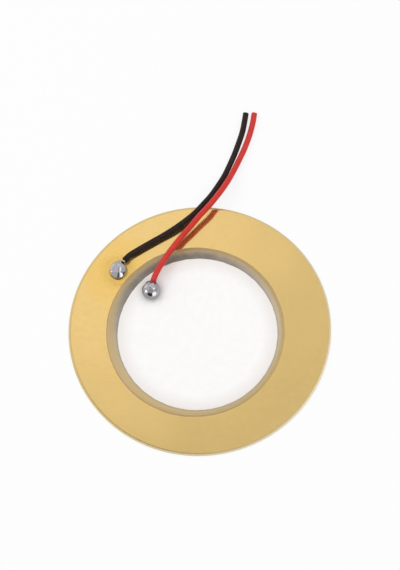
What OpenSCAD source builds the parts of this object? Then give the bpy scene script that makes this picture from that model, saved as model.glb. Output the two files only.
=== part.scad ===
// Piezo disc: a brass plate with a piezo-ceramic wafer glued to it off centre, and two soldered leads.
// Millimetres. The origin is the centre of the plate's underside, with +Z up through the wafer.

/* [Plate] */
// Outside diameter of the brass plate
plate_d = 35; // [31:0.5:50]
// Thickness of the brass plate
plate_t = 0.3; // [0.2:0.02:0.5]
// Width of the rounded rim that punching leaves round the top face
rim_roll_w = 0.3; // [0.05:0.05:0.5]
// Depth of the rounded rim at its outer edge
rim_roll_h = 0.12; // [0.04:0.02:0.16]

/* [Ceramic wafer] */
// Diameter of the wafer
ceramic_d = 23; // [20:0.2:25]
// Thickness of the wafer
ceramic_t = 0.2; // [0.1:0.02:0.4]
// Bevel round the wafer's top edge
ceramic_bevel = 0.03; // [0.01:0.01:0.06]
// Place of the wafer's centre to the right of the plate's centre
ceramic_x = -0.6; // [-0.9:0.1:0.5]
// Place of the wafer's centre behind the plate's centre
ceramic_y = -0.2; // [-0.8:0.1:0.2]

/* [Bond film] */
// Thickness of the epoxy film between plate and wafer
film_t = 0.02; // [0.01:0.005:0.05]
// Width of the fillet squeezed out round the wafer
fillet_w = 0.4; // [0.2:0.02:0.5]

/* [Silver electrodes] */
// Thickness of each printed electrode
print_t = 0.01; // [0.005:0.005:0.03]
// Bare border of ceramic round the upper electrode, when it is centred
upper_border = 0.85; // [0.6:0.05:2]
// Bare border of ceramic round the lower electrode
lower_border = 0.3; // [0.1:0.1:1]
// Shift of the upper electrode to the right on the wafer
upper_shift_x = 0.25; // [-0.3:0.05:0.3]
// Shift of the upper electrode to the back on the wafer
upper_shift_y = -0.45; // [-0.45:0.05:0.3]

/* [Solder on the electrode] */
// Diameter of the round bead
electrode_bead_d = 2.55; // [2.3:0.05:3]
// Height of the bead above the electrode
electrode_bead_h = 1.8; // [1.75:0.05:2.3]
// Bare silver between the bead and the edge of the electrode
electrode_joint_gap = 0.7; // [0.5:0.05:0.9]
// Place of the bead round the electrode, from +X towards +Y, in degrees
electrode_joint_turn = 128.6; // [127.5:0.1:130]

/* [Solder on the plate] */
// Diameter of the pear's round part
plate_bead_d = 2.45; // [2.1:0.05:2.6]
// Height of the pear's round part above the plate
plate_bead_h = 1.3; // [1.1:0.05:1.8]
// Bare brass between the round part and the fillet round the wafer
plate_joint_gap = 0.4; // [0.25:0.05:0.5]
// Place of the joint round the wafer, from +X towards +Y, in degrees
plate_joint_turn = 133.6; // [133.1:0.1:134.3]
// Distance from the round part's centre to the middle of the pear's small end
tail_l = 1; // [0.85:0.05:1.15]
// Diameter of the pear's small end
tail_d = 0.9; // [0.7:0.05:1.1]
// Turn of the pear's small end, from +X towards +Y, in degrees
tail_turn = 74; // [60:1:85]
// Climb of the pear's small end above level, in degrees
tail_climb = 18; // [10:1:30]

/* [Leads] */
// Outside diameter of each lead's insulation
lead_d = 0.78; // [0.5:0.02:0.84]
// Diameter of each lead's strands, taken together
conductor_d = 0.3; // [0.2:0.02:0.4]

/* [Hidden] */
$fn = 180;
lead_sides = 8;
pear_sides = 60;

// Heights of the layers, each on the one before
film_top = plate_t + film_t;
lower_top = film_top + print_t;
ceramic_top = lower_top + ceramic_t;
upper_top = ceramic_top + print_t;

// Radii of the layers
ceramic_r = ceramic_d / 2;
upper_r = ceramic_r - upper_border;
lower_r = ceramic_r - lower_border;
film_r = ceramic_r + fillet_w;

// Centres of the wafer, the upper electrode and the two solder joints, seen from above
wafer_at = [ceramic_x, ceramic_y];
upper_at = wafer_at + [upper_shift_x, upper_shift_y];
electrode_joint = upper_at
    + (upper_r - electrode_joint_gap - electrode_bead_d / 2) * turned(electrode_joint_turn);
plate_joint = wafer_at
    + (film_r + plate_joint_gap + plate_bead_d / 2) * turned(plate_joint_turn);

// Route of each lead's centre: the strands' tip in the solder, the start of the insulation,
// over the wafer and the rim in a low hump, and along the surface that the plate rests on
black_route = [
    [-9.7, 10.0, 0.85], [-8.95, 10.75, 0.9], [-8.15, 11.45, 0.85], [-6.65, 12.2, 0.85],
    [-5.0, 12.95, 0.85], [-3.4, 13.65, 0.9], [-1.8, 14.4, 1.05], [-0.3, 15.25, 1.15],
    [1.1, 16.15, 1.25], [2.35, 17.25, 1.25], [3.6, 18.5, 1.05], [4.7, 19.9, 0.75],
    [5.7, 21.3, 0.5], [6.6, 22.8, 0.41], [7.45, 24.35, 0.39], [8.2, 25.9, 0.39],
    [8.9, 27.5, 0.39], [9.4, 29.1, 0.39], [9.7, 30.2, 0.39]];
red_route = [
    [-5.7, 5.85, 2.15], [-5.45, 6.6, 2.15], [-5.2, 7.35, 2.15], [-4.35, 8.8, 2.05],
    [-3.3, 10.25, 1.85], [-2.1, 11.7, 1.7], [-0.85, 13.0, 1.7], [0.5, 14.2, 1.95],
    [1.8, 15.4, 2.25], [3.1, 16.5, 2.4], [4.4, 17.9, 2.2], [5.4, 19.2, 1.7],
    [6.4, 20.7, 1.15], [7.3, 22.25, 0.65], [8.2, 23.8, 0.42], [9.1, 25.4, 0.39],
    [9.85, 27.0, 0.39], [10.45, 28.6, 0.39], [10.85, 30.05, 0.39]];

// Level direction, turned from +X towards +Y
function turned(angle) = [cos(angle), sin(angle)];

// Radius of an arc that runs level at one end and drops by h over a width w
function arc_radius(w, h) = (w * w + h * h) / (2 * h);

// Direction of a route at point i, halfway between the stretches that meet there
function unit(v) = v / norm(v);
function heading(route, i) =
    let (last = len(route) - 1,
         before = unit(route[max(i, 1)] - route[max(i, 1) - 1]),
         after = unit(route[min(i + 1, last)] - route[min(i + 1, last) - 1]))
    unit(before + after);

// Corners of the lead's section at point i, with a flat side below and above
function ring(route, i, d) =
    let (along = heading(route, i),
         side = unit(cross(along, [0, 0, 1])),
         up = cross(side, along))
    [for (k = [0:lead_sides - 1])
        let (a = (k + 0.5) * 360 / lead_sides)
        route[i] + d / 2 * (cos(a) * side + sin(a) * up)];
function rings(route, first, d) = [for (i = [first:len(route) - 1]) each ring(route, i, d)];

// Triangles between successive rings, the corners counted from the number start
function skin(count, start) =
    [for (i = [0:count - 2], k = [0:lead_sides - 1])
        let (a = start + i * lead_sides + k,
             b = start + i * lead_sides + (k + 1) % lead_sides,
             c = a + lead_sides,
             e = b + lead_sides)
        each [[a, b, e], [a, e, c]]];
function inside_out(faces) = [for (f = faces) [f[2], f[1], f[0]]];

// Solid rod of diameter d along a route
module rod(route, d) {
    count = len(route);
    first_cap = [for (k = [lead_sides - 1:-1:0]) k];
    last_cap = [for (k = [0:lead_sides - 1]) (count - 1) * lead_sides + k];
    polyhedron(points = rings(route, 0, d),
               faces = concat(skin(count, 0), [first_cap, last_cap]));
}

// Insulation along a route from its second point on, hollow for the conductor
module sleeve(route, d, bore_d) {
    count = len(route) - 1;
    bore = count * lead_sides;
    first_end = [for (k = [0:lead_sides - 1])
        let (n = (k + 1) % lead_sides)
        each [[k, bore + k, bore + n], [k, bore + n, n]]];
    last_end = [for (f = first_end) [for (p = f) p + bore - lead_sides]];
    polyhedron(points = concat(rings(route, 1, d), rings(route, 1, bore_d)),
               faces = concat(skin(count, 0), inside_out(skin(count, bore)),
                              first_end, inside_out(last_end)));
}

// Straight bar with the lead's section, from point a to point b
module bar(a, b, d) {
    run = b - a;
    translate(a)
        rotate([0, acos(run[2] / norm(run)), atan2(run[1], run[0])])
            rotate([0, 0, 180 / lead_sides])
                cylinder(h = norm(run), d = d, $fn = lead_sides);
}

// Room in the solder for a lead's strands and for the start of its insulation
module lead_seat(route) {
    bar(route[0], route[1], conductor_d);
    bar(route[1], route[2], lead_d);
}

// Everything above a level seat, within reach of a solder joint
module above(joint, seat, reach) {
    translate([joint[0] - reach, joint[1] - reach, seat])
        cube([2 * reach, 2 * reach, 2 * reach]);
}

// Half outline of two balls on one axis, joined by the straight line that touches both
module pear_outline(r, end_r, spacing) {
    lean = acos((r - end_r) / spacing);
    touch = [sin(lean), cos(lean)];
    intersection() {
        union() {
            circle(r = r);
            polygon([[0, 0], r * touch, [0, spacing] + end_r * touch, [0, spacing]]);
            translate([0, spacing])
                circle(r = end_r);
        }
        translate([0, -r])
            square([r, 2 * r + spacing]);
    }
}

module brass_plate() {
    r = plate_d / 2;
    roll_r = arc_radius(rim_roll_w, rim_roll_h);
    color([0.86, 0.73, 0.45])
        rotate_extrude() {
            square([r - rim_roll_w, plate_t]);
            square([r, plate_t - rim_roll_h]);
            intersection() {
                translate([r - rim_roll_w, plate_t - rim_roll_h])
                    square([rim_roll_w, rim_roll_h]);
                translate([r - rim_roll_w, plate_t - roll_r])
                    circle(r = roll_r);
            }
        }
}

module bond_film() {
    climb = ceramic_top - ceramic_bevel - film_top;
    hollow_r = arc_radius(fillet_w, climb);
    color([0.72, 0.64, 0.48])
        translate([wafer_at[0], wafer_at[1], plate_t])
            rotate_extrude() {
                square([film_r, film_t]);
                translate([lower_r, 0])
                    square([lower_border, film_t + print_t]);
                difference() {
                    translate([ceramic_r, 0])
                        square([fillet_w, film_t + climb]);
                    translate([film_r, film_t + hollow_r])
                        circle(r = hollow_r);
                }
            }
}

module lower_electrode() {
    color([0.9, 0.9, 0.89])
        translate([wafer_at[0], wafer_at[1], film_top])
            cylinder(h = print_t, r = lower_r);
}

module ceramic_disc() {
    color([0.66, 0.64, 0.57])
        translate([wafer_at[0], wafer_at[1], lower_top]) {
            cylinder(h = ceramic_t - ceramic_bevel, r = ceramic_r);
            translate([0, 0, ceramic_t - ceramic_bevel])
                cylinder(h = ceramic_bevel, r1 = ceramic_r, r2 = ceramic_r - ceramic_bevel);
        }
}

module upper_electrode() {
    color([0.95, 0.94, 0.92])
        translate([upper_at[0], upper_at[1], ceramic_top])
            cylinder(h = print_t, r = upper_r);
}

// Pear-shaped joint: a round part, and a small end that leans towards the black lead
module plate_solder() {
    r = plate_bead_d / 2;
    color([0.7, 0.7, 0.72])
        difference() {
            intersection() {
                translate([plate_joint[0], plate_joint[1], plate_t + plate_bead_h - r])
                    rotate([0, 90 - tail_climb, tail_turn])
                        rotate_extrude($fn = pear_sides)
                            pear_outline(r, tail_d / 2, tail_l, $fn = pear_sides);
                above(plate_joint, plate_t, plate_bead_d);
            }
            lead_seat(black_route);
        }
}

// Round bead that the red lead's strands lie in, just under its top
module electrode_solder() {
    r = electrode_bead_d / 2;
    color([0.7, 0.7, 0.72])
        difference() {
            intersection() {
                translate([electrode_joint[0], electrode_joint[1],
                           upper_top + electrode_bead_h - r])
                    sphere(r = r);
                above(electrode_joint, upper_top, electrode_bead_d);
            }
            lead_seat(red_route);
        }
}

module black_conductor() {
    color([0.78, 0.77, 0.75])
        rod(black_route, conductor_d);
}

module black_jacket() {
    color([0.06, 0.06, 0.07])
        sleeve(black_route, lead_d, conductor_d);
}

module red_conductor() {
    color([0.78, 0.77, 0.75])
        rod(red_route, conductor_d);
}

module red_jacket() {
    color([0.83, 0.22, 0.2])
        sleeve(red_route, lead_d, conductor_d);
}

brass_plate();
bond_film();
lower_electrode();
ceramic_disc();
upper_electrode();
plate_solder();
electrode_solder();
black_conductor();
black_jacket();
red_conductor();
red_jacket();
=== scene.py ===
"""Looks of the piezo disc: brass plate, glued wafer with printed silver, solder joints and leads.

Lengths are written in millimetres in the plate's frame, and turned into metres when a mesh is made.
"""

import math

import bmesh
import bpy
import numpy as np
from mathutils import Matrix, Vector, noise

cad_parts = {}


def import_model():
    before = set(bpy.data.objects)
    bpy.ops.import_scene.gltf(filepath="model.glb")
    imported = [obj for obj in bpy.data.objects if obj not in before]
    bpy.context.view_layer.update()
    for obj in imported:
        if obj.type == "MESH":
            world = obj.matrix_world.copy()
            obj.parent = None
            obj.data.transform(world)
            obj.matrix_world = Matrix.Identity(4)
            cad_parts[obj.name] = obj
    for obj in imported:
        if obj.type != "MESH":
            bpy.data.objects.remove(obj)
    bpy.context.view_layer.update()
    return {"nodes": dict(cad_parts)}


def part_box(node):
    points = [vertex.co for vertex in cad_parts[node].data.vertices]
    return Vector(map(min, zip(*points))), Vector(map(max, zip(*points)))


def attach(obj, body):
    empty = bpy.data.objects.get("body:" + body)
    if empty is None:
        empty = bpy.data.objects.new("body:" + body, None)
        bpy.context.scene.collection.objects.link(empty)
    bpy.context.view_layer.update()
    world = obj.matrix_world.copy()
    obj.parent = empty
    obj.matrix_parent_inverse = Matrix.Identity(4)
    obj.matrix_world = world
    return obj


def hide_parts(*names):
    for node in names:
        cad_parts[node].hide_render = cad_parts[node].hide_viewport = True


MM = 0.001

# Camera: a long lens, seen from 70 degrees above the table, turned a little round its own axis
CAMERA_ELEVATION = 70.0
CAMERA_ROLL = -6.7
CAMERA_DISTANCE = 400.0
CAMERA_AIM = (0.746, 6.245, 0.3)
CAMERA_LENS = 188.75
CAMERA_SENSOR = 36.0
# Nearest and farthest that it sees, in metres
CAMERA_CLIP = (0.01, 20.0)

# Centre lines of the leads: strands' tip in the solder, start of the insulation, then along the lead
BLACK_ROUTE = [
    (-9.7, 10.0, 0.85), (-8.95, 10.75, 0.9), (-8.15, 11.45, 0.85), (-6.65, 12.2, 0.85),
    (-5.0, 12.95, 0.85), (-3.4, 13.65, 0.9), (-1.8, 14.4, 1.05), (-0.3, 15.25, 1.15),
    (1.1, 16.15, 1.25), (2.35, 17.25, 1.25), (3.6, 18.5, 1.05), (4.7, 19.9, 0.75),
    (5.7, 21.3, 0.5), (6.6, 22.8, 0.41), (7.45, 24.35, 0.39), (8.2, 25.9, 0.39),
    (8.9, 27.5, 0.39), (9.4, 29.1, 0.39), (9.7, 30.2, 0.39),
]
RED_ROUTE = [
    (-5.7, 5.85, 2.15), (-5.45, 6.6, 2.15), (-5.2, 7.35, 2.15), (-4.35, 8.8, 2.05),
    (-3.3, 10.25, 1.85), (-2.1, 11.7, 1.7), (-0.85, 13.0, 1.7), (0.5, 14.2, 1.95),
    (1.8, 15.4, 2.25), (3.1, 16.5, 2.4), (4.4, 17.9, 2.2), (5.4, 19.2, 1.7),
    (6.4, 20.7, 1.15), (7.3, 22.25, 0.65), (8.2, 23.8, 0.42), (9.1, 25.4, 0.39),
    (9.85, 27.0, 0.39), (10.45, 28.6, 0.39), (10.85, 30.05, 0.39),
]
ROUTE_STEP = 0.12
LEAD_D = 0.78
CONDUCTOR_D = 0.3


# ---------------------------------------------------------------- meshes

def piece(name, verts, faces, sharp_deg=35.0):
    """A mesh object from points in millimetres, smooth but for its sharp edges."""
    mesh = bpy.data.meshes.new(name)
    mesh.from_pydata([tuple(float(c) * MM for c in v) for v in verts], [], faces)
    mesh.update()
    for polygon in mesh.polygons:
        polygon.use_smooth = True
    mesh.set_sharp_from_angle(angle=math.radians(sharp_deg))
    obj = bpy.data.objects.new(name, mesh)
    bpy.context.scene.collection.objects.link(obj)
    return obj


def ring_faces(count, sides, closed):
    """Quads between successive rings of points, and from the last ring to the first if closed."""
    faces = []
    for i in range(count if closed else count - 1):
        a, b = i * sides, (i + 1) % count * sides
        for k in range(sides):
            n = (k + 1) % sides
            faces.append((a + k, a + n, b + n, b + k))
    return faces


def turned_points(centre, profile, sides, wave):
    """Each point (radius, z) of a profile, carried round an upright axis.
    wave(angle, radius, z) moves a point outwards."""
    points = []
    for r, z in profile:
        for k in range(sides):
            a = 2 * math.pi * k / sides
            q = r + wave(a, r, z)
            points.append((centre[0] + q * math.cos(a), centre[1] + q * math.sin(a), z))
    return points


def lathe(name, centre, profile, sides, wave, sharp_deg):
    """A turned solid: profile runs from the axis below, round the outside, to the axis above."""
    count = len(profile)
    faces = ring_faces(count, sides, False)
    faces.append(tuple(reversed(range(sides))))
    faces.append(tuple(range((count - 1) * sides, count * sides)))
    return piece(name, turned_points(centre, profile, sides, wave), faces, sharp_deg)


def collar(name, centre, profile, sides, wave, sharp_deg):
    """A turned ring: profile is a closed loop, counter-clockwise."""
    faces = ring_faces(len(profile), sides, True)
    return piece(name, turned_points(centre, profile, sides, wave), faces, sharp_deg)


def edge_noise(angle, scale, offset):
    """Noise that runs round a circle without a seam. offset picks another stretch of it."""
    at_edge = Vector((math.cos(angle), math.sin(angle), 0.0))
    return noise.noise(at_edge * scale + Vector(offset))


def smooth_line(points):
    """Points of a smooth curve through the given ones, about ROUTE_STEP apart, and their distance
    along it."""
    p = np.array(points, float)
    p = np.vstack([2 * p[0] - p[1], p, 2 * p[-1] - p[-2]])
    out = []
    for i in range(1, len(p) - 2):
        n = max(2, int(round(np.linalg.norm(p[i + 1] - p[i]) / ROUTE_STEP)))
        t = (np.arange(n) / n)[:, None]
        a, b, c, d = p[i - 1], p[i], p[i + 1], p[i + 2]
        out.append(0.5 * (2 * b + (c - a) * t + (2 * a - 5 * b + 4 * c - d) * t**2
                          + (3 * b - a - 3 * c + d) * t**3))
    out.append(p[-2:-1])
    line = np.vstack(out)
    along = np.concatenate([[0], np.cumsum(np.linalg.norm(np.diff(line, axis=0), axis=1))])
    return line, along


def cross_directions(line):
    """Two directions across a line at each of its points, carried along without twist."""
    tangent = np.gradient(line, axis=0)
    tangent /= np.linalg.norm(tangent, axis=1)[:, None]
    side = np.cross(tangent[0], (0, 0, 1))
    sides = []
    for t in tangent:
        side = side - (side @ t) * t
        side = side / np.linalg.norm(side)
        sides.append(side)
    sides = np.array(sides)
    return sides, np.cross(sides, tangent)


def at(along, values, s):
    """Values along a line, read at distance s."""
    return np.array([np.interp(s, along, values[:, k]) for k in range(values.shape[1])]).T


# ---------------------------------------------------------------- node trees

class Graph:
    """A short way to write a node tree. An input is either a value or another node's output."""

    def __init__(self, tree):
        self.tree = tree
        tree.nodes.clear()

    def add(self, kind, inputs=(), **values):
        node = self.tree.nodes.new(kind)
        for name, value in values.items():
            setattr(node, name, value)
        for key, value in dict(inputs).items():
            if isinstance(value, bpy.types.NodeSocket):
                self.tree.links.new(value, node.inputs[key])
            else:
                node.inputs[key].default_value = value
        return node

    def math(self, operation, a, b=0.0):
        return self.add("ShaderNodeMath", {0: a, 1: b}, operation=operation).outputs[0]

    def plus(self, a, b):
        return self.math("ADD", a, b)

    def minus(self, a, b):
        return self.math("SUBTRACT", a, b)

    def times(self, a, b):
        return self.math("MULTIPLY", a, b)

    def blend(self, share, a, b):
        """a where share is 0, b where it is 1."""
        return self.plus(self.times(a, self.minus(1.0, share)), self.times(b, share))

    def mix(self, share, a, b):
        """Colour a where share is 0, colour b where it is 1."""
        return self.add("ShaderNodeMix", {0: share, 6: a, 7: b}, data_type="RGBA").outputs[2]

    def range(self, value, low, high, to_low=0.0, to_high=1.0, kind="LINEAR"):
        """to_low where value is low and under, to_high where it is high and over."""
        return self.add("ShaderNodeMapRange",
                        {"Value": value, "From Min": low, "From Max": high,
                         "To Min": to_low, "To Max": to_high},
                        interpolation_type=kind).outputs["Result"]

    def step(self, value, low, high, to_low=0.0, to_high=1.0):
        """range, with soft ends."""
        return self.range(value, low, high, to_low, to_high, "SMOOTHSTEP")

    def vector(self, operation, a, b=(0, 0, 0), scale=1.0):
        node = self.add("ShaderNodeVectorMath", {0: a, 1: b, 3: scale}, operation=operation)
        return node.outputs[1 if operation in ("DOT_PRODUCT", "LENGTH") else 0]

    def place(self):
        """Place on the object in millimetres."""
        where = self.add("ShaderNodeTexCoord").outputs["Object"]
        return self.vector("SCALE", where, scale=1 / MM)

    def stretched(self, where, x, y, z):
        return self.vector("MULTIPLY", where, (x, y, z))

    def height(self, where):
        return self.add("ShaderNodeSeparateXYZ", {0: where}).outputs[2]

    def level_distance(self, where, centre):
        """Distance from an upright line through centre."""
        away = self.vector("SUBTRACT", where, (centre[0], centre[1], 0))
        return self.vector("LENGTH", self.stretched(away, 1, 1, 0))

    def noise(self, where, scale, detail=2.0, roughness=0.5):
        return self.add("ShaderNodeTexNoise",
                        {"Vector": where, "Scale": scale, "Detail": detail,
                         "Roughness": roughness}).outputs["Fac"]

    def cloud(self, where, scale, low, high, to_low, to_high, detail=2.0, roughness=0.5):
        """Noise with its low values at to_low and its high ones at to_high."""
        return self.range(self.noise(where, scale, detail, roughness), low, high, to_low, to_high)

    def wander(self, value, where, scale, spread, amount, detail=2.0):
        """A value that noise moves by up to amount. spread is the part of the noise that counts."""
        moved = self.cloud(where, scale, 0.5 - spread, 0.5 + spread, -amount, amount, detail)
        return self.plus(value, moved)

    def bump(self, height, depth_mm, normal=None):
        inputs = {"Height": height, "Distance": depth_mm * MM}
        if normal is not None:
            inputs["Normal"] = normal
        return self.add("ShaderNodeBump", inputs).outputs["Normal"]

    def principled(self, inputs):
        return self.add("ShaderNodeBsdfPrincipled", inputs).outputs["BSDF"]

    def output(self, shader, kind="ShaderNodeOutputMaterial"):
        self.tree.links.new(shader, self.add(kind).inputs["Surface"])

    def surface(self, inputs):
        self.output(self.principled(inputs))


def rgb(red, green, blue):
    """A shader colour from the 0 to 255 numbers of a screen colour."""
    def linear(c):
        c /= 255
        return c / 12.92 if c <= 0.04045 else ((c + 0.055) / 1.055) ** 2.4
    return (linear(red), linear(green), linear(blue), 1.0)


def material(name):
    """A new material, and the Graph of its node tree."""
    made = bpy.data.materials.new(name)
    made.use_nodes = True
    return made, Graph(made.node_tree)


def dress(obj, made):
    """Gives a piece its only material."""
    obj.data.materials.clear()
    obj.data.materials.append(made)


def dress_node(obj, made):
    """Gives a CAD node a material without touching its mesh."""
    for slot in obj.material_slots:
        slot.material = made


# ---------------------------------------------------------------- camera, light and floor

def add_camera():
    """Looks along +Y and down at the part, from CAMERA_DISTANCE away."""
    elevation, roll = math.radians(CAMERA_ELEVATION), math.radians(CAMERA_ROLL)
    back = Vector((0, -math.cos(elevation), math.sin(elevation)))
    right = Vector((1, 0, 0))
    up = back.cross(right)
    turned_right = right * math.cos(roll) + up * math.sin(roll)
    turned_up = up * math.cos(roll) - right * math.sin(roll)
    data = bpy.data.cameras.new("camera")
    data.lens = CAMERA_LENS
    data.sensor_width = CAMERA_SENSOR
    data.clip_start, data.clip_end = CAMERA_CLIP
    camera = bpy.data.objects.new("camera", data)
    turn = Matrix((turned_right, turned_up, back)).transposed().to_4x4()
    place = Vector(CAMERA_AIM) * MM + back * CAMERA_DISTANCE * MM
    camera.matrix_world = Matrix.Translation(place) @ turn
    bpy.context.scene.collection.objects.link(camera)
    bpy.context.scene.camera = camera


def direction(azimuth, elevation):
    """The unit vector that points there, from angles in degrees."""
    a, e = math.radians(azimuth), math.radians(elevation)
    return Vector((math.cos(e) * math.cos(a), math.cos(e) * math.sin(a), math.sin(e)))


# Light from all round: SKY for matt surfaces, ROOM for what metal and gloss reflect. Each goes from
# its horizon's level to its zenith's between two heights, where 0 is level and 1 straight up
SKY_HORIZON, SKY_ZENITH, SKY_LOW, SKY_HIGH = 0.53, 1.06, -0.1, 0.9
ROOM_HORIZON, ROOM_ZENITH, ROOM_LOW, ROOM_HIGH = 0.72, 0.88, 0.0, 0.75
# Patches in that room, each over the ones before: azimuth, elevation and half width in degrees,
# and brightness
STUDIO_PATCHES = [
    (142, 17, 20, 1.28),
    (90, 72, 28, 1.04),
    (255, 52, 18, 0.58),
    (335, 8, 30, 0.67),
    (252, 6, 15, 0.06),
    (296, 4, 8, 2.3),
    (197, 17, 13, 3.0),
    (353, 53, 12, 2.3),
    (281, 80, 6, 0.24),
    (135, 78, 9, 0.04),
]
# A patch is full within its core and gone past its edge, as shares of its half width
PATCH_CORE, PATCH_EDGE = 0.8, 1.15


def add_patches(g, ray, room):
    """The level of the room where ray looks, with the patches laid over it."""
    for azimuth, elevation, half, level in STUDIO_PATCHES:
        cosine = g.vector("DOT_PRODUCT", ray, direction(azimuth, elevation))
        edge = math.cos(math.radians(half * PATCH_EDGE))
        core = math.cos(math.radians(half * PATCH_CORE))
        room = g.blend(g.step(cosine, edge, core), room, level)
    return room


def add_world():
    """White behind the object. Metal also shows the studio's soft boxes and dark corners."""
    world = bpy.data.worlds.new("studio")
    world.use_nodes = True
    bpy.context.scene.world = world
    g = Graph(world.node_tree)
    ray = g.add("ShaderNodeTexCoord").outputs["Generated"]
    height = g.height(ray)
    sky = g.step(height, SKY_LOW, SKY_HIGH, SKY_HORIZON, SKY_ZENITH)
    room = g.step(height, ROOM_LOW, ROOM_HIGH, ROOM_HORIZON, ROOM_ZENITH)
    room = add_patches(g, ray, room)
    path = g.add("ShaderNodeLightPath").outputs
    seen = g.math("MAXIMUM", path["Is Camera Ray"], path["Is Transmission Ray"])
    level = g.blend(path["Is Glossy Ray"], sky, room)
    level = g.plus(g.times(level, g.minus(1.0, seen)), seen)
    background = g.add("ShaderNodeBackground", {"Color": (1, 1, 1, 1), "Strength": level})
    g.output(background.outputs[0], "ShaderNodeOutputWorld")


# Key lamp: a soft disk. Directions in degrees, lengths in metres, power in watts
KEY_AZIMUTH, KEY_ELEVATION = 150, 50
KEY_DISTANCE, KEY_SIZE, KEY_WATTS = 0.5, 0.28, 0.3


def add_key_lamp():
    """The lamp that casts the shadow. Metal and gloss show the room's patches instead of it."""
    data = bpy.data.lights.new("key", "AREA")
    data.shape = "DISK"
    data.size = KEY_SIZE
    data.energy = KEY_WATTS
    lamp = bpy.data.objects.new("key", data)
    towards = direction(KEY_AZIMUTH, KEY_ELEVATION)
    lamp.matrix_world = (Matrix.Translation(towards * KEY_DISTANCE)
                         @ towards.to_track_quat("Z", "Y").to_matrix().to_4x4())
    lamp.visible_glossy = False
    bpy.context.scene.collection.objects.link(lamp)


# Floor: half its width in millimetres, its own grey, and how much the camera sees of plain white
FLOOR_HALF = 3000
FLOOR_WHITE = 0.9
FLOOR_GLOW = 0.78


def add_floor():
    """A pale table. The camera sees it nearly white, and it keeps the object's shadow."""
    half = FLOOR_HALF
    corners = [(-half, -half, 0), (half, -half, 0), (half, half, 0), (-half, half, 0)]
    floor = piece("floor", corners, [(0, 1, 2, 3)])
    made, g = material("floor")
    path = g.add("ShaderNodeLightPath").outputs
    seen = g.math("MAXIMUM", path["Is Camera Ray"],
                  g.math("MAXIMUM", path["Is Glossy Ray"], path["Is Transmission Ray"]))
    white = g.add("ShaderNodeEmission", {"Color": (1, 1, 1, 1), "Strength": 1.0})
    plain = g.add("ShaderNodeBsdfDiffuse", {"Color": (FLOOR_WHITE, FLOOR_WHITE, FLOOR_WHITE, 1)})
    mixed = g.add("ShaderNodeMixShader",
                  {0: g.times(seen, FLOOR_GLOW), 1: plain.outputs[0], 2: white.outputs[0]})
    g.output(mixed.outputs[0])
    dress(floor, made)


# ---------------------------------------------------------------- materials
# Directions are in degrees round the plate, from +X towards +Y

# Brass tones: the warm one is painted light and the cool one painted shade across the plate; the rim and
# edge tones follow the same painted light and shade
BRASS_LIT_WARM, BRASS_SHADED_COOL = rgb(243, 208, 136), rgb(208, 181, 118)
BRASS_BLOTCH, BRASS_GRAIN = rgb(226, 190, 128), rgb(196, 160, 96)
BRASS_BLOOM, BRASS_RING = rgb(240, 198, 100), rgb(206, 160, 82)
BRASS_RIM_SHADED_SIDE, BRASS_RIM_LIT_SIDE = rgb(205, 190, 162), rgb(209, 187, 136)
BRASS_EDGE_SHADED_SIDE, BRASS_EDGE_LIT_SIDE = rgb(230, 215, 180), rgb(212, 187, 114)
# The side of the plate that the painted light comes from
BRASS_PAINTED_LIT_SIDE = 140.0
# Share of hazy metal among the bright, over the plate and at the foot of the joint
BRASS_HAZE, BRASS_FOOT_HAZE, BRASS_HAZE_ROUGHNESS = 0.15, 0.65, 0.5
# Marks round the joint, by distance from its middle
HAZE_NEAR, HAZE_FAR = 1.4, 3.2
FLUX_NEAR, FLUX_FAR = 1.4, 2.6
BLOOM_NEAR, BLOOM_FAR, BLOOM_SHARE = 1.5, 6.5, 0.62
RING_RADIUS, RING_WIDTH, RING_SHARE = 1.85, 0.35, 0.3
# Pale rim and outermost edge: how far in from the wall each starts and is full
RIM_START, RIM_FULL, RIM_SHARE = 0.42, 0.12, 0.85
EDGE_START, EDGE_FULL, EDGE_METAL = 0.24, 0.08, 0.35


def brass_colour(g, where, away, painted_lit_share, grain):
    """Painted light and shade across the plate, warm and lit to cool and shaded, with blotches, rolled grain
    and a heat bloom by the joint.
    """
    colour = g.mix(g.step(painted_lit_share, 0.0, 0.95), BRASS_SHADED_COOL, BRASS_LIT_WARM)
    blotches = g.cloud(where, 1.1, 0.35, 0.65, 0.0, 0.22, 3.0, 0.6)
    colour = g.mix(blotches, colour, BRASS_BLOTCH)
    colour = g.mix(g.range(grain, 0.25, 0.75, 0.0, 0.14), colour, BRASS_GRAIN)
    bloom = g.step(g.wander(away, where, 0.55, 0.3, 1.6), BLOOM_NEAR, BLOOM_FAR, BLOOM_SHARE, 0.0)
    colour = g.mix(bloom, colour, BRASS_BLOOM)
    ring = g.math("ABSOLUTE", g.minus(g.wander(away, where, 1.3, 0.5, 0.5), RING_RADIUS))
    patchy = g.step(g.noise(where, 0.9), 0.42, 0.6)
    ring = g.times(g.step(ring, 0.0, RING_WIDTH, RING_SHARE, 0.0), patchy)
    return g.mix(ring, colour, BRASS_RING)


def brass_normal(g, where, away, grain):
    """Fine grain, a slow waviness, and spilt flux by the joint."""
    flux = g.step(away, FLUX_NEAR, FLUX_FAR, 1.0, 0.0)
    normal = g.bump(grain, 0.00004)
    normal = g.bump(g.noise(where, 0.3, 0.0), 0.004, normal)
    return g.bump(g.times(g.noise(where, 2.6), flux), 0.02, normal)


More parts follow.
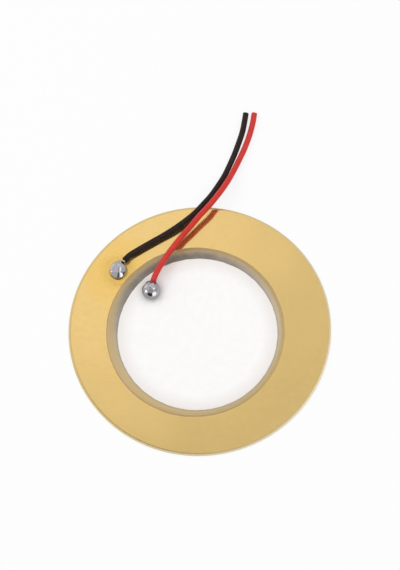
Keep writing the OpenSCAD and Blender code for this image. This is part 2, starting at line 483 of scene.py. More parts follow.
def brass_material(plate_r, joint):
    """Rolled brass with painted light and shade across it, a pale rim, mostly bright, and hazy round the
    joint.
    """
    made, g = material("brass")
    where = g.place()
    away, radius = g.level_distance(where, joint), g.level_distance(where, (0, 0))
    across = g.vector("DOT_PRODUCT", where, direction(BRASS_PAINTED_LIT_SIDE, 0))
    # Painted light: 0 on the plate's shaded side, 1 on its lit side
    painted_lit_share = g.wander(g.range(across, -plate_r, plate_r), where, 0.09, 0.2, 0.1, 1.0)
    grain = g.noise(g.stretched(where, 0.5, 9.0, 9.0), 1.4, 3.0, 0.6)
    rim = g.step(radius, plate_r - RIM_START, plate_r - RIM_FULL)
    edge = g.step(radius, plate_r - EDGE_START, plate_r - EDGE_FULL)
    colour = brass_colour(g, where, away, painted_lit_share, grain)
    colour = g.mix(g.times(rim, RIM_SHARE), colour, g.mix(painted_lit_share, BRASS_RIM_SHADED_SIDE, BRASS_RIM_LIT_SIDE))
    colour = g.mix(edge, colour, g.mix(painted_lit_share, BRASS_EDGE_SHADED_SIDE, BRASS_EDGE_LIT_SIDE))
    rough = g.plus(g.range(grain, 0.2, 0.8, 0.1, 0.14), g.times(rim, 0.25))
    looks = {"Base Color": colour, "Metallic": g.range(edge, 0.0, 1.0, 1.0, EDGE_METAL),
             "Normal": brass_normal(g, where, away, grain)}
    bright = g.principled({**looks, "Roughness": g.wander(rough, where, 22.0, 0.2, 0.015)})
    dull = g.principled({**looks, "Roughness": BRASS_HAZE_ROUGHNESS})
    haze = g.step(g.wander(away, where, 1.1, 0.3, 0.4), HAZE_NEAR, HAZE_FAR,
                  BRASS_FOOT_HAZE, BRASS_HAZE)
    g.output(g.add("ShaderNodeMixShader", {0: haze, 1: bright, 2: dull}).outputs[0])
    return made


def facing(g, where, centre, azimuth):
    """How far a place lies towards azimuth from centre: 1 straight that way, -1 the other way."""
    away = g.vector("SUBTRACT", where, (centre[0], centre[1], 0))
    away = g.vector("NORMALIZE", g.stretched(away, 1, 1, 0))
    return g.vector("DOT_PRODUCT", away, direction(azimuth, 0))


def painted_margin_shade(g, where, centre, dark_side):
    """Painted shade and reflection round the wafer's bare margin: 0 on its shaded side, 1 on its lit side.
    """
    return g.range(facing(g, where, centre, dark_side), 1.05, -0.2)


# Ceramic tones: the dark and light ones are painted shade and reflection round the margin
CERAMIC_SHADED, CERAMIC_LIT = rgb(112, 104, 94), rgb(200, 190, 181)
CERAMIC_LINE, CERAMIC_SPECKLE = rgb(124, 112, 96), rgb(110, 100, 88)
MARGIN_SHADED_SIDE = 105.0
# Resin over the wafer's edge: how far in from it the resin is gone, and full (a minus is further
# out), and how much further in it was wiped on one side
RESIN_THIN, RESIN_FULL, RESIN_REACH, RESIN_SIDE = 0.85, -0.1, 0.55, 215.0
# Dark line along the print
LINE_NEAR, LINE_FAR, LINE_SHARE = 0.02, 0.32, 0.4


def ceramic_material(centre, wafer_r, print_centre, print_r):
    """Bare fired ceramic: speckled, with painted shade and reflection darker on one side, darker along the
    print, resin on its edge.
    """
    made, g = material("ceramic")
    where = g.place()
    shade = g.wander(painted_margin_shade(g, where, centre, MARGIN_SHADED_SIDE), where, 0.8, 0.2, 0.06)
    radius = g.wander(g.level_distance(where, centre), where, 1.1, 0.2, 0.12, 3.0)
    wiped = g.range(facing(g, where, centre, RESIN_SIDE), 0.25, 1.0, 0.0, RESIN_REACH)
    resin = g.step(g.plus(radius, wiped), wafer_r - RESIN_THIN, wafer_r - RESIN_FULL)
    beside = g.level_distance(where, print_centre)
    line = g.step(beside, print_r + LINE_NEAR, print_r + LINE_FAR, LINE_SHARE, 0.0)
    speckle = g.noise(where, 9.0, 3.0, 0.7)
    # Painted shade and reflection, darker on the shaded side of the margin and of the resin on it
    colour = g.mix(shade, CERAMIC_SHADED, CERAMIC_LIT)
    colour = g.mix(resin, colour, g.mix(shade, EPOXY_SHADED_TAN, EPOXY_LIT_PALE))
    colour = g.mix(line, colour, CERAMIC_LINE)
    colour = g.mix(g.range(speckle, 0.45, 0.8, 0.0, 0.3), colour, CERAMIC_SPECKLE)
    g.surface({"Base Color": colour, "Roughness": g.range(speckle, 0.2, 0.8, 0.45, 0.65),
               "Normal": g.bump(g.noise(where, 30.0), 0.004)})
    return made


# Epoxy tones: the tan and pale ones are painted shade and light round the wafer
EPOXY_SHADED_TAN, EPOXY_LIT_PALE = rgb(177, 153, 113), rgb(199, 174, 124)
EPOXY_BROWN, EPOXY_CLOUD = rgb(150, 118, 72), rgb(176, 150, 108)
EPOXY_SHADED_SIDE, EPOXY_LINE_SIDE = 90.0, 262.0
# Brown line along the outer edge: how far in it starts and is full
BROWN_START, BROWN_FULL = 0.24, 0.06


def epoxy_material(centre, inner_r, outer_r):
    """Squeezed-out epoxy: tan over the brass, glossy, with painted shade and reflection darker on one side
    and a brown line at its outer edge.
    """
    made, g = material("epoxy")
    where = g.place()
    radius = g.level_distance(where, centre)
    shade = painted_margin_shade(g, where, centre, EPOXY_SHADED_SIDE)
    inside = g.step(radius, inner_r - 0.02, inner_r + 0.15, 0.2, 0.0)
    edge = g.step(radius, outer_r - BROWN_START, outer_r - BROWN_FULL)
    line = g.range(facing(g, where, centre, EPOXY_LINE_SIDE), 0.0, 1.0, 0.35, 0.7)
    # Painted shade and reflection, darker on the shaded side
    colour = g.mix(shade, EPOXY_SHADED_TAN, EPOXY_LIT_PALE)
    colour = g.mix(inside, colour, g.mix(shade, CERAMIC_SHADED, CERAMIC_LIT))
    colour = g.mix(g.times(edge, line), colour, EPOXY_BROWN)
    colour = g.mix(g.cloud(where, 1.6, 0.4, 0.7, 0.0, 0.25, 3.0), colour, EPOXY_CLOUD)
    g.surface({"Base Color": colour, "Roughness": 0.42, "Specular IOR Level": 0.4,
               "Normal": g.bump(g.noise(where, 2.2), 0.02)})
    return made


SILVER_WHITE, SILVER_EDGE = rgb(251, 250, 249), rgb(236, 229, 224)
SILVER_MOTTLE = rgb(226, 223, 222)
# Round the bead: a painted shadow as a grey halo, and a painted contact shadow as a dark line at its foot
# that is faint on one side
SILVER_SHADOW_HALO, HALO_NEAR, HALO_FAR, HALO_SHARE = rgb(205, 200, 198), 1.0, 2.4, 0.55
SILVER_CONTACT_SHADOW, FOOT_NEAR, FOOT_FAR, FOOT_SHARE = rgb(140, 138, 140), 0.95, 1.3, 0.6
SILVER_FAINT_SHADOW_SIDE = 270.0
HIDDEN_SILVER_DARK, HIDDEN_SILVER_LIGHT = rgb(226, 224, 220), rgb(240, 239, 236)


def silver_normal(g, where):
    """The screen's weave and a fine grain."""
    weave = g.add("ShaderNodeTexVoronoi", {"Vector": where, "Scale": 5.0, "Randomness": 0.35},
                  distance="CHEBYCHEV").outputs["Distance"]
    return g.bump(g.noise(where, 14.0), 0.003, g.bump(weave, 0.0015))


def silver_material(centre, print_r, bead):
    """Screen-printed silver fired on: satin white, greyer at its edge, with painted shadow round the bead.
    """
    made, g = material("silver_print")
    where = g.place()
    away = g.level_distance(where, bead)
    fade = g.step(g.level_distance(where, centre), print_r - 2.4, print_r + 0.3, 0.0, 0.85)
    # Painted shadow round the bead, and a painted contact shadow at its foot
    shadow_halo = g.step(g.wander(away, where, 1.4, 0.3, 0.3), HALO_NEAR, HALO_FAR, HALO_SHARE, 0.0)
    beside = g.range(facing(g, where, bead, SILVER_FAINT_SHADOW_SIDE), 0.0, 1.0, 1.0, 0.2)
    foot = g.times(g.step(away, FOOT_NEAR, FOOT_FAR, FOOT_SHARE, 0.0), beside)
    colour = g.mix(fade, SILVER_WHITE, SILVER_EDGE)
    colour = g.mix(shadow_halo, colour, SILVER_SHADOW_HALO)
    colour = g.mix(foot, colour, SILVER_CONTACT_SHADOW)
    colour = g.mix(g.cloud(where, 1.2, 0.4, 0.75, 0.0, 0.12, 3.0), colour, SILVER_MOTTLE)
    g.surface({"Base Color": colour, "Metallic": 0.12, "Roughness": 0.3,
               "Normal": silver_normal(g, where)})
    return made


def hidden_silver_material():
    """The silver on the lower face of the wafer, hidden between it and the film."""
    made, g = material("silver_print_below")
    mottle = g.cloud(g.place(), 2.0, 0.3, 0.7, 0.0, 1.0, 3.0)
    g.surface({"Base Color": g.mix(mottle, HIDDEN_SILVER_DARK, HIDDEN_SILVER_LIGHT),
               "Metallic": 0.25, "Roughness": 0.5})
    return made


SOLDER_FROST = rgb(172, 170, 175)
# Joint on the plate and bead on the silver: colour above, painted shade and reflection low
# down, how high that reaches, and its share
JOINT_LIGHT, JOINT_SHADE, JOINT_LOW_HEIGHT, JOINT_LOW_SHARE = rgb(188, 187, 191), rgb(44, 31, 17), 0.3, 0.9
BEAD_LIGHT, BEAD_SHADE, BEAD_LOW_HEIGHT, BEAD_LOW_SHARE = rgb(180, 178, 182), rgb(114, 113, 116), 0.6, 0.8
# The bead's flank gets painted shade and reflection from this share of its radius, darkest on this side
BEAD_FLANK, BEAD_SHADED_SIDE = 0.72, 130.0


def painted_bead_flank(g, where, centre, radius):
    """How far the flank of a round bead is darkened with painted shade and reflection."""
    share = g.range(facing(g, where, centre, BEAD_SHADED_SIDE), -0.8, 0.8, 0.15, 0.95)
    return g.times(g.step(g.level_distance(where, centre), BEAD_FLANK * radius, radius), share)


def solder_material(name, light, foot, shade_colour, low_height, low_share, bead=None):
    """Tin-lead solder: bright, with a faint frosting, and painted shade and reflection where it meets
    what it stands on. bead is the centre and radius of a round bead, whose flank gets painted shade."""
    made, g = material(name)
    where = g.place()
    frost = g.noise(where, 3.5, 4.0, 0.65)
    height = g.wander(g.height(where), where, 2.1, 0.3, 0.1)
    # Painted shade and reflection low down on the solder
    low = g.times(g.step(height, foot + 0.3 * low_height, foot + low_height, 1.0, 0.0), low_share)
    if bead:
        low = g.math("MAXIMUM", low, painted_bead_flank(g, where, *bead))
    colour = g.mix(g.range(frost, 0.35, 0.7), light, SOLDER_FROST)
    g.surface({"Base Color": g.mix(low, colour, shade_colour),
               "Metallic": g.minus(1.0, g.times(low, 0.65)),
               "Roughness": g.plus(g.range(frost, 0.3, 0.7, 0.05, 0.13), g.times(low, 0.2)),
               "Normal": g.bump(g.noise(where, 5.0, 3.0, 0.6), 0.008)})
    return made


TIN, BARE_COPPER = rgb(214, 212, 208), rgb(196, 150, 120)


def strand_material():
    """Tinned copper, with the tin worn thin in places."""
    made, g = material("tinned_copper")
    worn = g.noise(g.place(), 5.0, 3.0)
    g.surface({"Base Color": g.mix(g.range(worn, 0.45, 0.8), TIN, BARE_COPPER), "Metallic": 1.0,
               "Roughness": g.range(worn, 0.3, 0.7, 0.2, 0.35)})
    return made


BLACK_DARK, BLACK_LIGHT, BLACK_ROUGHNESS, BLACK_SPECULAR = rgb(38, 28, 26), rgb(50, 39, 36), 0.5, 0.12
RED_DARK, RED_LIGHT, RED_ROUGHNESS, RED_SPECULAR = rgb(198, 37, 28), rgb(210, 45, 35), 0.35, 0.4
# Painted shadow at the start of the insulation, by the solder: how far it reaches, its share, and how dark
# it is
START_SHADOW_NEAR, START_SHADOW_FAR, START_SHADOW_SHARE, START_SHADOW_LEVEL = 0.35, 0.75, 0.7, 0.25


def jacket_material(name, dark, light, roughness, specular, start):
    """Extruded PVC: faint clouds and a very fine skin, with painted shadow at its start."""
    made, g = material(name)
    where = g.place()
    away = g.vector("LENGTH", g.vector("SUBTRACT", where, start))
    # Painted shadow at the start of the insulation
    start_shadow = tuple(START_SHADOW_LEVEL * c for c in dark[:3]) + (1.0,)
    colour = g.mix(g.cloud(where, 1.5, 0.3, 0.7, 0.0, 1.0, 3.0), dark, light)
    colour = g.mix(g.step(away, START_SHADOW_NEAR, START_SHADOW_FAR, START_SHADOW_SHARE, 0.0), colour, start_shadow)
    rough = g.cloud(where, 2.5, 0.3, 0.7, roughness - 0.05, roughness + 0.05)
    g.surface({"Base Color": colour, "Roughness": rough, "Specular IOR Level": specular,
               "Normal": g.bump(g.noise(where, 7.0, 3.0), 0.006)})
    return made


# ---------------------------------------------------------------- plate, wafer and what joins them

# A turned face has a ring of points beside its axis, and the others from FLAT_R outwards
AXIS_R, FLAT_R = 0.02, 2.0
TURNED_SIDES, PRINT_SIDES = 480, 720
TURNED_SHARP, FILLET_SHARP = 50.0, 60.0

# Plate: its rolled upper edge, points of the lower one by inset and height, and dings in the wall
ROLL_WIDTH, ROLL_HEIGHT, ROLL_POINTS, ROLL_FULLNESS = 0.3, 0.12, 10, 1.15
LOWER_EDGE = [(0.12, 0.004), (0.05, 0.008), (0.012, 0.016), (0.004, 0.03), (0.0, 0.07)]
DING_DEPTH, DING_SCALE = 0.012, 9
# Wafer: the bevel of its upper edge, and chips in it, fewer as their rarity goes up
BEVEL, CHIP_DEPTH, CHIP_SCALE, CHIP_RARITY = 0.03, 0.02, 30, 0.25
# Silver: its ragged edge, as depth and scale of the noise, and how far it is drawn in
COARSE_RAG, FINE_RAG, RAG_INSET = (0.035, 14), (0.03, 60), 0.01
# Epoxy: height of its outer edge, points up its slope, how hollow that is, and its wandering edge
FILLET_EDGE, FILLET_POINTS, FILLET_HOLLOW = 0.006, 12, 2.2
COARSE_WANDER, FINE_WANDER = (0.05, 5), (0.03, 17)


def middle_and_radius(box):
    """Middle and radius of a turned node, from its box."""
    low, high = box
    middle = ((low.x + high.x) / 2 / MM, (low.y + high.y) / 2 / MM)
    return middle, (high.x - low.x) / 2 / MM


def heights(box):
    """Heights of a node's lower and upper face."""
    low, high = box
    return low.z / MM, high.z / MM


def level_points(start, end, z, count):
    """Points of a profile that run straight across at height z."""
    return [(x, z) for x in np.linspace(start, end, count)]


def plate_piece(box):
    """Punched brass disc: rolled edge above, sheared wall, small round below."""
    r, t = box[1].x / MM, box[1].z / MM
    profile = [(AXIS_R, 0.0)] + level_points(FLAT_R, r - ROLL_WIDTH, 0.0, 10)
    profile += [(r - inset, z) for inset, z in LOWER_EDGE] + [(r, t - ROLL_HEIGHT - 0.02)]
    for k in range(ROLL_POINTS):
        u = math.radians(90 * (k + 0.5) / ROLL_POINTS)
        profile.append((r - ROLL_WIDTH + ROLL_WIDTH * math.cos(u) ** ROLL_FULLNESS,
                        t - ROLL_HEIGHT + ROLL_HEIGHT * math.sin(u) ** ROLL_FULLNESS))
    profile += level_points(r - ROLL_WIDTH - 0.05, FLAT_R, t, 10) + [(AXIS_R, t)]

    def dings(angle, radius, z):
        if radius < r - 0.2 or z > t - 0.005 or z < 0.005:
            return 0.0
        return -DING_DEPTH * 0.5 * (1 + edge_noise(angle, DING_SCALE, (0, 0, 3.1)))

    return lathe("plate_brass", (0, 0), profile, TURNED_SIDES, dings, TURNED_SHARP)


def wafer_piece(box):
    """The fired wafer, with a small bevel above that is chipped here and there."""
    centre, r = middle_and_radius(box)
    bottom, top = heights(box)
    profile = [(AXIS_R, bottom)] + level_points(FLAT_R, r, bottom, 6)
    profile += [(r, top - BEVEL), (r - 0.008, top - 0.012), (r - BEVEL, top)]
    profile += level_points(r - 0.2, FLAT_R, top, 8) + [(AXIS_R, top)]

    def chips(angle, radius, z):
        if radius < r - 0.1 or z < top - 0.05:
            return 0.0
        return -CHIP_DEPTH * max(0.0, edge_noise(angle, CHIP_SCALE, (0, 0, 1.7)) - CHIP_RARITY)

    return lathe("wafer", centre, profile, TURNED_SIDES, chips, TURNED_SHARP)


def print_piece(box):
    """The printed silver, with the slightly ragged edge that a screen leaves."""
    centre, r = middle_and_radius(box)
    bottom, top = heights(box)
    profile = [(AXIS_R, bottom), (r - 0.3, bottom), (r, bottom)]
    profile += [(r - 0.015, top - 0.003), (r - 0.05, top)]
    profile += level_points(r - 0.25, FLAT_R, top, 10) + [(AXIS_R, top)]

    def ragged(angle, radius, z):
        if radius < r - 0.1:
            return 0.0
        coarse = COARSE_RAG[0] * edge_noise(angle, COARSE_RAG[1], (0, 0, 5.3))
        fine = FINE_RAG[0] * edge_noise(angle, FINE_RAG[1], (0, 0, 9.1))
        return coarse + fine - RAG_INSET

    return lathe("silver_print", centre, profile, PRINT_SIDES, ragged, TURNED_SHARP)


def fillet_piece(film_box, wafer_box):
    """The epoxy round the wafer: a hollow meniscus with a slightly wandering outer edge."""
    outer = middle_and_radius(film_box)[1]
    centre, inner = middle_and_radius(wafer_box)
    base, top = heights(film_box)
    foot, width = base + FILLET_EDGE, outer - inner
    profile = [(0.5, base), (outer, base), (outer, foot)]
    for k in range(1, FILLET_POINTS):
        t = k / FILLET_POINTS
        profile.append((outer - width * t, foot + (top - foot) * t**FILLET_HOLLOW))
    profile += [(inner, top), (inner - 0.3, top - 0.03), (inner - 0.3, base + 0.02), (0.5, base + 0.02)]

    def wandering(angle, radius, z):
        if radius <= inner + 0.02:
            return 0.0
        coarse = COARSE_WANDER[0] * edge_noise(angle, COARSE_WANDER[1], (0, 0, 0))
        fine = FINE_WANDER[0] * edge_noise(angle, FINE_WANDER[1], (3, 1, 0))
        return (radius - inner) / width * (coarse + fine)

    return collar("epoxy_fillet", centre, profile, TURNED_SIDES, wandering, FILLET_SHARP)


# ---------------------------------------------------------------- solder
# The joints are worked out from distances: a form's field is below 0 inside it

FAR = 1e9
BLOB_SUBDIVISIONS, BLOB_REACH, BLOB_HALVINGS, BLOB_SHARP = 6, 3.0, 26, 70.0
CHAIN_BALLS = 14
SKIRT_FALL, SKIRT_HEIGHT, SKIRT_WALL_BLEND = 0.07, 0.3, 0.15


def smooth_min(a, b, k):
    """The lower of two fields, blended over k where they meet."""
    h = np.clip(0.5 + 0.5 * (b - a) / k, 0, 1)
    return b * (1 - h) + a * h - k * h * (1 - h)


def smooth_max(a, b, k):
    """The higher of two fields, blended over k where they meet."""
    return -smooth_min(-a, -b, k)


def blob(name, centre, field, floor_z):
    """A closed form round centre, whose surface is searched along each ray from there."""
    mesh = bmesh.new()
    bmesh.ops.create_icosphere(mesh, subdivisions=BLOB_SUBDIVISIONS, radius=1.0)
    mesh.verts.ensure_lookup_table()
    rays = np.array([v.co for v in mesh.verts], float)
    rays /= np.linalg.norm(rays, axis=1)[:, None]
    faces = [tuple(v.index for v in f.verts) for f in mesh.faces]
    mesh.free()
    low, high = np.zeros(len(rays)), np.full(len(rays), BLOB_REACH)
    for _ in range(BLOB_HALVINGS):
        mid = (low + high) / 2
        inside = field(centre + rays * mid[:, None]) < 0
        low, high = np.where(inside, mid, low), np.where(inside, high, mid)
    points = centre + rays * low[:, None]
    down = rays[:, 2] < -1e-6
    to_floor = np.full(len(rays), FAR)
    to_floor[down] = (floor_z - centre[2]) / rays[down, 2]
    under = low > to_floor
    points[under] = centre + rays[under] * to_floor[under][:, None]
    return piece(name, points, faces, BLOB_SHARP)


def lumps(p, scale, seed):
    """Slow noise at each of the points."""
    return np.array([noise.noise(Vector(q) * scale + Vector((seed, 0, 0))) for q in p])


def ball_chain(p, start, end, start_r, end_r, fullness=2.0):
    """Distance to balls strung from start to end, shrinking from start_r to end_r. Above 2,
    fullness makes their tops flatter and their sides steeper."""
    out = np.full(len(p), FAR)
    for t in np.linspace(0, 1, CHAIN_BALLS):
        away = np.abs(p - (start + t * (end - start)))
        level = np.hypot(away[:, 0], away[:, 1])
        size = (level**fullness + away[:, 2]**fullness) ** (1 / fullness)
        out = np.minimum(out, size - (start_r + t * (end_r - start_r)))
    return out


def past_wall(p, centre, wall):
    """Distance past an upright wall: a level direction, and its distance from centre."""
    towards, distance = wall
    return (p - centre)[:, :2] @ np.array(towards) - distance


def foot_skirt(p, centre, foot, r, flare, wall=None):
    """Distance to the flare with which solder wets what it stands on. It may end at a wall."""
    level = np.hypot(p[:, 0] - centre[0], p[:, 1] - centre[1]) - r
    if wall:
        level = smooth_max(level, past_wall(p, centre, wall), SKIRT_WALL_BLEND)
    skirt = level - flare * np.exp(-(p[:, 2] - foot) / SKIRT_FALL)
    return np.maximum(skirt, p[:, 2] - foot - SKIRT_HEIGHT)


def pressed(out, p, centre, r, facets, softness):
    """Flattens the form softly across each facet: a direction, and its distance as a share of r."""
    for towards, distance in facets:
        n = np.array(towards) / np.linalg.norm(towards)
        out = smooth_max(out, (p - centre) @ n - distance * r, softness)
    return out


# Joint on the plate: how far its middle lies from the box's, the ball at its leaning end, the
# upright walls of its body and its foot, and the point that its facets are measured from.
# A BLEND is the width over which two surfaces run into each other
JOINT_SHIFT, JOINT_SHARE, JOINT_FULLNESS = 0.03, 0.96, 2.8
JOINT_LEAN, JOINT_END_R = (0.26, 0.91, 0.31), 0.45
JOINT_WALL, JOINT_WALL_BLEND = ((0.7, -0.71), 1.08), 0.06
JOINT_FOOT_WALL, JOINT_FOOT_SHARE, JOINT_FLARE, JOINT_FOOT_BLEND = ((0.7, -0.71), 0.99), 0.93, 0.13, 0.04
JOINT_MIDDLE, JOINT_SOFT_BLEND, JOINT_FACET_BLEND = (0.0, 0.06, 0.4), 0.16, 0.06
JOINT_LUMP, JOINT_LUMP_SCALE = 0.015, 1.3
# Cone of solder along the strands: share of their bare length, and radius at its start and end
JOINT_CONE, BEAD_CONE, CONE_BLEND = (0.75, 0.3, 0.15), (1.0, 0.05, 0.2), 0.12
# Facets: direction, and distance in mm. The soft ones are on its top
JOINT_SOFT_FACETS = [
    ((-0.33, -0.04, 0.94), 0.74),
    ((0.52, -0.2, 0.83), 0.84),
]
JOINT_FACETS = [
    ((-0.45, -0.62, 0.64), 0.87),
    ((-0.2, -0.74, 0.63), 0.925),
    ((0.22, -0.77, 0.6), 0.955),
    ((0.47, -0.66, 0.59), 0.985),
]

# Bead on the silver: its size as a share of the box's, and how far its middle lies from the box's
BEAD_SHARE, BEAD_SHIFT = 0.98, (-0.05, -0.04)
BEAD_FOOT_SHARE, BEAD_FLARE, BEAD_FOOT_BLEND, BEAD_FACET_BLEND = 0.8, 0.03, 0.06, 0.012
BEAD_LUMP, BEAD_LUMP_SCALE = 0.012, 1.1
# Its flats: direction, and distance as a share of its radius
BEAD_FACETS = [
    ((-0.14, -0.76, 0.635), 0.955),
    ((0.3, -0.745, 0.6), 0.955),
    ((-0.02, -0.5, 0.865), 0.955),
    ((-0.7, 0.66, 0.27), 0.92),
]


def joint_ball(box):
    """Centre and radius of the ball that the joint on the plate starts from."""
    low, high = box
    r = (high.x - low.x) / 2 / MM
    return np.array(((low.x + high.x) / 2 / MM + JOINT_SHIFT, low.y / MM + r, high.z / MM - r)), r


def bead_ball(box):
    """Centre and radius of the bead on the silver."""
    (x, y), radius = middle_and_radius(box)
    r = BEAD_SHARE * radius
    return np.array((x + BEAD_SHIFT[0], y + BEAD_SHIFT[1], box[1].z / MM - r)), r


def with_cone(out, p, route, cone):
    """Adds the cone of solder that has run along the bare strands."""
    tip, bare = np.array(route[0]), np.array(route[1])
    share, start_r, end_r = cone
    return smooth_min(out, ball_chain(p, tip, tip + share * (bare - tip), start_r, end_r), CONE_BLEND)


def plate_joint_piece(centre, r, foot, route):
    """Low pear-shaped joint with facets and a crease, drawn out towards the strands."""
    end = centre + np.array(JOINT_LEAN)
    middle = np.array((centre[0], centre[1], foot)) + np.array(JOINT_MIDDLE)

    def field(p):
        out = ball_chain(p, centre, end, r * JOINT_SHARE, JOINT_END_R, JOINT_FULLNESS)
        out = smooth_max(out, past_wall(p, centre, JOINT_WALL), JOINT_WALL_BLEND)
        skirt = foot_skirt(p, centre, foot, r * JOINT_FOOT_SHARE, JOINT_FLARE, JOINT_FOOT_WALL)
        out = smooth_min(out, skirt, JOINT_FOOT_BLEND)
        out = pressed(out, p, middle, 1.0, JOINT_SOFT_FACETS, JOINT_SOFT_BLEND)
        out = pressed(out, p, middle, 1.0, JOINT_FACETS, JOINT_FACET_BLEND)
        out = with_cone(out, p, route, JOINT_CONE)
        return out - JOINT_LUMP * lumps(p, JOINT_LUMP_SCALE, 2.0)

    return blob("solder_on_plate", centre, field, foot)


def bead_piece(centre, r, foot, route):
    """Round bead on the silver, nearly a ball, that the red lead's strands run into."""
    def field(p):
        out = np.linalg.norm(p - centre, axis=1) - r
        skirt = foot_skirt(p, centre, foot, r * BEAD_FOOT_SHARE, BEAD_FLARE)
        out = smooth_min(out, skirt, BEAD_FOOT_BLEND)
        out = pressed(out, p, centre, r, BEAD_FACETS, BEAD_FACET_BLEND)
        out = with_cone(out, p, route, BEAD_CONE)
        return out - BEAD_LUMP * lumps(p, BEAD_LUMP_SCALE, 7.0)

    return blob("solder_on_silver", centre, field, foot)


# ---------------------------------------------------------------- leads

JACKET_SIDES, JACKET_STEP, JACKET_SHARP, BORE_STEP = 32, 0.15, 40.0, 0.5
# Rounded lip where the insulation starts, the swelling behind it, and the round of its cut end
LIP_R, LIP_POINTS, LIP_LENGTH, MOUTH_SHARE = 0.11, 7, 0.16, 1.07
SWELL_SHARE, SWELL_START, SWELL_LENGTH = 0.07, 0.1, 0.35
CUT_ROUND, CUT_CORNER = 0.012, 0.003
SKIN_DEPTH, SKIN_SCALE = 0.006, 0.7
STRANDS_ROUND, STRAND_SIDES, STRAND_PITCH, STRAND_SHARP = 6, 8, 3.2, 50.0


def jacket_stations(start, end):
    """Distance along the lead and radius, out over the insulation and back through its bore."""
    r, bore = LEAD_D / 2, CONDUCTOR_D / 2
    stations = [(start + 0.05, bore), (start + 0.01, bore + 0.03)]
    for k in range(LIP_POINTS):
        u = math.radians(90 * k / (LIP_POINTS - 1))
        stations.append((start + LIP_R * (1 - math.cos(u)), r * MOUTH_SHARE - LIP_R * (1 - math.sin(u))))
    for s in np.arange(start + LIP_LENGTH, end - 0.05, JACKET_STEP):
        swell = SWELL_SHARE * math.exp(-((s - start - SWELL_START) / SWELL_LENGTH) ** 2)
        skin = SKIN_DEPTH * noise.noise(Vector((s * SKIN_SCALE, 4.2, r)))
        stations.append((s, r * (1 + swell) + skin))
    stations += [(end - CUT_ROUND, r), (end - CUT_CORNER, r - CUT_CORNER), (end, r - CUT_ROUND)]
    stations.append((end, bore + 0.02))
    return stations + [(s, bore) for s in np.arange(end - 0.02, start + 0.05, -BORE_STEP)]


def round_points(centre, side, up, radius, sides, phase=0.0):
    """A ring of points round centre, in the plane of side and up."""
    angles = [2 * math.pi * (k + phase) / sides for k in range(sides)]
    return [centre + radius * (math.cos(u) * side - math.sin(u) * up) for u in angles]


def jacket_piece(name, route):
    """Insulation along the route from its second point, with a rounded start and a clean cut end."""
    line, along = smooth_line(route)
    side, up = cross_directions(line)
    stations = jacket_stations(np.linalg.norm(np.subtract(route[1], route[0])), along[-1])
    points = []
    for s, radius in stations:
        centre, a, b = (at(along, values, s) for values in (line, side, up))
        points += round_points(centre, a, b, radius, JACKET_SIDES, 0.5)
    return piece(name, points, ring_faces(len(stations), JACKET_SIDES, True), JACKET_SHARP)


def strands_piece(name, route):
    """Twisted strands along the route: one in the middle and the others wound round it."""
    line, along = smooth_line(route)
    side, up = cross_directions(line)
    # Three strands lie side by side across the conductor
    strand_r, rings = CONDUCTOR_D / 6, len(line)
    points, faces = [], []
    for n in range(STRANDS_ROUND + 1):
        first = len(points)
        lay = 0.0 if n == STRANDS_ROUND else 2 * strand_r
        for c, a, b, s in zip(line, side, up, along):
            turn = 2 * math.pi * (s / STRAND_PITCH + n / STRANDS_ROUND)
            middle = c + lay * (math.cos(turn) * a + math.sin(turn) * b)
            points += round_points(middle, a, b, strand_r, STRAND_SIDES)
        own = ring_faces(rings, STRAND_SIDES, False)
        own.append(tuple(reversed(range(STRAND_SIDES))))
        own.append(tuple(range((rings - 1) * STRAND_SIDES, rings * STRAND_SIDES)))
        faces += [tuple(first + i for i in face) for face in own]
    return piece(name, points, faces, STRAND_SHARP)


# ---------------------------------------------------------------- the whole part

def stand_for(obj, node, made):
    """Dresses a piece and puts it in the place of a CAD node."""
    dress(obj, made)
    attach(obj, "root")
    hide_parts(node)


def add_lead(colour, route, jacket_made, strands_made):
    """One lead: its insulation, which is a cord, and the strands in it."""
    jacket = jacket_piece(colour + "_insulation", route)
    strands = strands_piece(colour + "_strands", route)
    stand_for(jacket, colour + "_jacket", jacket_made)
    stand_for(strands, colour + "_conductor", strands_made)


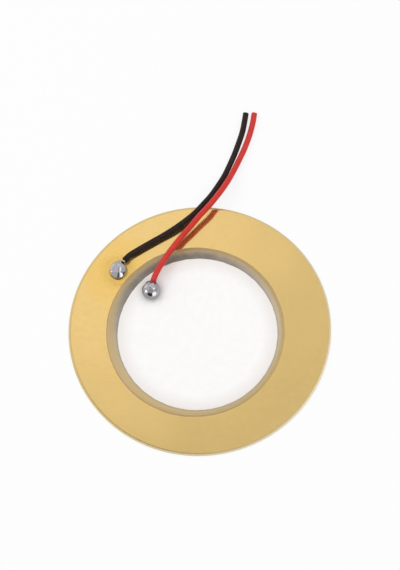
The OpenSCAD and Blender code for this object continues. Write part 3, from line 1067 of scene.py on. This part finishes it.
def add_leads():
    """The black lead, to the plate, and the red one, to the silver."""
    strands = strand_material()
    black = jacket_material("black_insulation", BLACK_DARK, BLACK_LIGHT, BLACK_ROUGHNESS,
                            BLACK_SPECULAR, BLACK_ROUTE[1])
    red = jacket_material("red_insulation", RED_DARK, RED_LIGHT, RED_ROUGHNESS,
                          RED_SPECULAR, RED_ROUTE[1])
    add_lead("black", BLACK_ROUTE, black, strands)
    add_lead("red", RED_ROUTE, red, strands)


def add_wafer(bead):
    """The wafer and the silver printed on it. bead is the middle of the bead on the silver."""
    wafer_box, silver_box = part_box("ceramic_disc"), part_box("upper_electrode")
    wafer, silver = middle_and_radius(wafer_box), middle_and_radius(silver_box)
    stand_for(wafer_piece(wafer_box), "ceramic_disc", ceramic_material(*wafer, *silver))
    stand_for(print_piece(silver_box), "upper_electrode",
              silver_material(*silver, bead))


def add_joint(box, centre, r):
    """The black lead's joint on the plate."""
    foot = heights(box)[0]
    made = solder_material("plate_solder", JOINT_LIGHT, foot, JOINT_SHADE, JOINT_LOW_HEIGHT,
                           JOINT_LOW_SHARE)
    stand_for(plate_joint_piece(centre, r, foot, BLACK_ROUTE), "plate_solder", made)


def add_bead(box, centre, r):
    """The red lead's bead on the silver."""
    foot = heights(box)[0]
    made = solder_material("bead_solder", BEAD_LIGHT, foot, BEAD_SHADE, BEAD_LOW_HEIGHT,
                           BEAD_LOW_SHARE, (centre, r))
    stand_for(bead_piece(centre, r, foot, RED_ROUTE), "electrode_solder", made)


def add_plate(joint):
    """The plate and the epoxy on it. joint is the middle of the joint on the plate."""
    plate_box, film_box, wafer_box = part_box("brass_plate"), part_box("bond_film"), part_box("ceramic_disc")
    stand_for(plate_piece(plate_box), "brass_plate",
              brass_material(plate_box[1].x / MM, joint))
    wafer_centre, wafer_r = middle_and_radius(wafer_box)
    stand_for(fillet_piece(film_box, wafer_box), "bond_film",
              epoxy_material(wafer_centre, wafer_r, middle_and_radius(film_box)[1]))


def main():
    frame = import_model()
    bpy.context.scene.view_settings.view_transform = "Standard"
    add_camera()
    add_leads()
    joint_box, bead_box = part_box("plate_solder"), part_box("electrode_solder")
    joint, bead = joint_ball(joint_box), bead_ball(bead_box)
    add_wafer(bead[0])
    add_joint(joint_box, *joint)
    add_bead(bead_box, *bead)
    add_plate(joint[0])
    dress_node(frame["nodes"]["lower_electrode"], hidden_silver_material())

    add_world()
    add_key_lamp()
    add_floor()


main()
